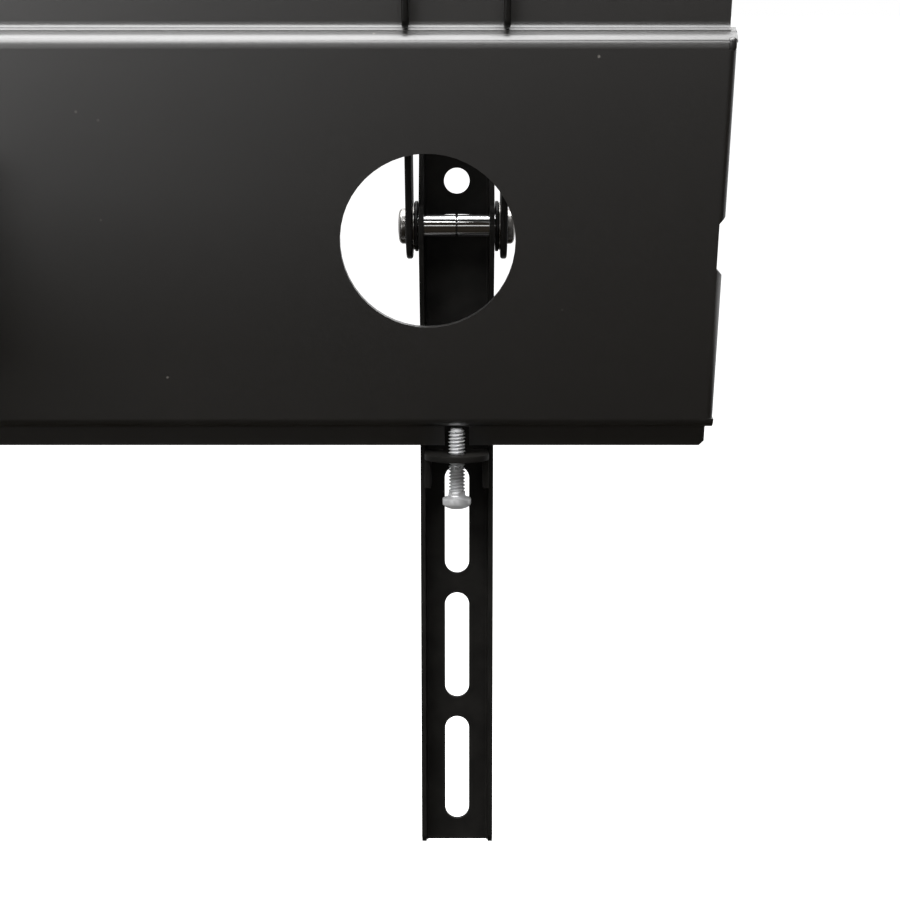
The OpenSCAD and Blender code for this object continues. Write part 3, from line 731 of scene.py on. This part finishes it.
for arm, spec in weldSpecs.items():
    tubeWelds(arm, spec)
print("welds made")


# Floor, world and lamps: a wide softbox hangs close above the plate, the room behind the camera
# is dim, and the floor shows a painted dim shade in reflections below the plate, so that the
# folds shine and the flat faces stay dark

stageSpec = {"floorDrop": 0.75, "floorBack": -14, "floorFront": 0.6, "floorWide": 10,
             "floorColor": (0.9, 0.9, 0.9), "glow": 1.0, "share": 0.5,
             # the painted dim shade that the floor shows in reflections below the plate
             "mirrored": (0.02, 0.017, 0.013),
             "whiteFrom": -1.6, "dimPast": -0.9, "paleSide": 0.4,
             "dimSide": (0.025, 0.021, 0.016), "paleFrom": -0.5, "dimFrom": 0.1}


def makeFloor(spec):
    mesh = bpy.data.meshes.new("floor")
    wide, z = spec["floorWide"], -spec["floorDrop"]
    back, front = spec["floorBack"], spec["floorFront"]
    mesh.from_pydata([(-wide, back, z), (wide, back, z), (wide, front, z), (-wide, front, z)],
                     [], [(0, 1, 2, 3)])
    floor = bpy.data.objects.new("floor", mesh)
    collection.objects.link(floor)
    material, tree, shader = newMaterial("paleFloor")
    setInputs(shader, Base_Color=(*spec["floorColor"], 1), Roughness=0.9)
    shader.inputs["Specular IOR Level"].default_value = 0
    glow = addNode(tree, "ShaderNodeEmission")
    setInputs(glow, Color=(1, 1, 1, 1), Strength=spec["glow"])
    # in reflections it shows painted light instead of its lit colour: half white on the
    # television's side, and a painted dim shade below the plate, so that the plate reflects dark
    # there
    place = addNode(tree, "ShaderNodeSeparateXYZ")
    link(tree, addNode(tree, "ShaderNodeTexCoord").outputs["Object"], place.inputs[0])
    near = addNode(tree, "ShaderNodeMapRange")
    setInputs(near, From_Min=spec["whiteFrom"], From_Max=spec["dimPast"])
    link(tree, place.outputs["Y"], near.inputs["Value"])
    # the painted reflection: a dim shade below the plate, half white further towards the
    # television
    paintedReflection = addNode(tree, "ShaderNodeEmission")
    link(tree, addRamp(tree, near.outputs[0], [(0, spec["share"]), (1, spec["mirrored"])]),
         paintedReflection.inputs["Color"])
    path = addNode(tree, "ShaderNodeLightPath")
    lit = addNode(tree, "ShaderNodeAddShader")
    link(tree, shader.outputs[0], lit.inputs[0])
    link(tree, glow.outputs[0], lit.inputs[1])
    seen = addNode(tree, "ShaderNodeMixShader")
    link(tree, addMath(tree, "MAXIMUM", path.outputs["Is Camera Ray"],
                       path.outputs["Is Transmission Ray"]), seen.inputs[0])
    link(tree, shader.outputs[0], seen.inputs[1])
    link(tree, lit.outputs[0], seen.inputs[2])
    mirrored = addNode(tree, "ShaderNodeMixShader")
    link(tree, path.outputs["Is Glossy Ray"], mirrored.inputs[0])
    link(tree, seen.outputs[0], mirrored.inputs[1])
    link(tree, paintedReflection.outputs[0], mirrored.inputs[2])
    link(tree, mirrored.outputs[0], tree.nodes["Material Output"].inputs["Surface"])
    mesh.materials.append(material)


def makeWorld(spec):
    world = bpy.data.worlds.new("studio")
    bpy.context.scene.world = world
    world.use_nodes = True
    tree = world.node_tree
    room = tree.nodes["Background"]
    room.inputs["Strength"].default_value = 1
    way = addNode(tree, "ShaderNodeTexCoord")
    parts = addNode(tree, "ShaderNodeSeparateXYZ")
    link(tree, way.outputs["Generated"], parts.inputs[0])
    side = addNode(tree, "ShaderNodeMapRange")
    setInputs(side, From_Min=spec["paleFrom"], From_Max=spec["dimFrom"])
    link(tree, parts.outputs["Y"], side.inputs["Value"])
    pale = spec["paleSide"]
    link(tree, addRamp(tree, side.outputs[0], [(0, (pale, pale, pale)), (1, spec["dimSide"])]),
         room.inputs["Color"])
    white = addNode(tree, "ShaderNodeBackground")
    setInputs(white, Color=(1, 1, 1, 1), Strength=1)
    # reflections show the white background at half strength, on the television's side only
    path = addNode(tree, "ShaderNodeLightPath")
    behind = addMath(tree, "SUBTRACT", 1, side.outputs[0])
    mirrored = addMath(tree, "MULTIPLY", path.outputs["Is Glossy Ray"],
                       addMath(tree, "MULTIPLY", behind, spec["share"]))
    seen = addMath(tree, "MAXIMUM", path.outputs["Is Camera Ray"],
                   addMath(tree, "MAXIMUM", path.outputs["Is Transmission Ray"], mirrored))
    pick = addNode(tree, "ShaderNodeMixShader")
    link(tree, seen, pick.inputs[0])
    link(tree, room.outputs[0], pick.inputs[1])
    link(tree, white.outputs[0], pick.inputs[2])
    link(tree, pick.outputs[0], tree.nodes["World Output"].inputs["Surface"])


lampSpecs = {
    "overhead": {"place": (0.05, -0.42, 0.75), "aim": (-0.05, -0.43, 0), "size": (1.3, 1.1),
                 "power": 24},
    "besideCamera": {"place": (0.9, 1.1, 0.3), "aim": (-0.1, -0.4, 0), "size": (0.6, 0.5),
                     "power": 3},
    "behindCamera": {"place": (-0.1, 1.35, 0.5), "aim": (-0.2, -0.43, 0), "size": (2.2, 0.2),
                     "power": 1.5},
    "fromTelevision": {"place": (-0.4, -2.0, 0.8), "aim": (-0.2, -0.45, 0), "size": (1.5, 1.0),
                       "power": 5},
}


def makeLamps(specs):
    for name, spec in specs.items():
        data = bpy.data.lights.new(name, "AREA")
        data.shape = "RECTANGLE"
        data.size, data.size_y = spec["size"]
        data.energy = spec["power"]
        lamp = bpy.data.objects.new(name, data)
        lamp.location = spec["place"]
        aim = Vector(spec["aim"]) - Vector(spec["place"])
        lamp.rotation_euler = aim.to_track_quat("-Z", "Y").to_euler()
        collection.objects.link(lamp)


makeFloor(stageSpec)
makeWorld(stageSpec)
makeLamps(lampSpecs)
bpy.context.scene.view_settings.view_transform = "Standard"
print("stage and lamps set")
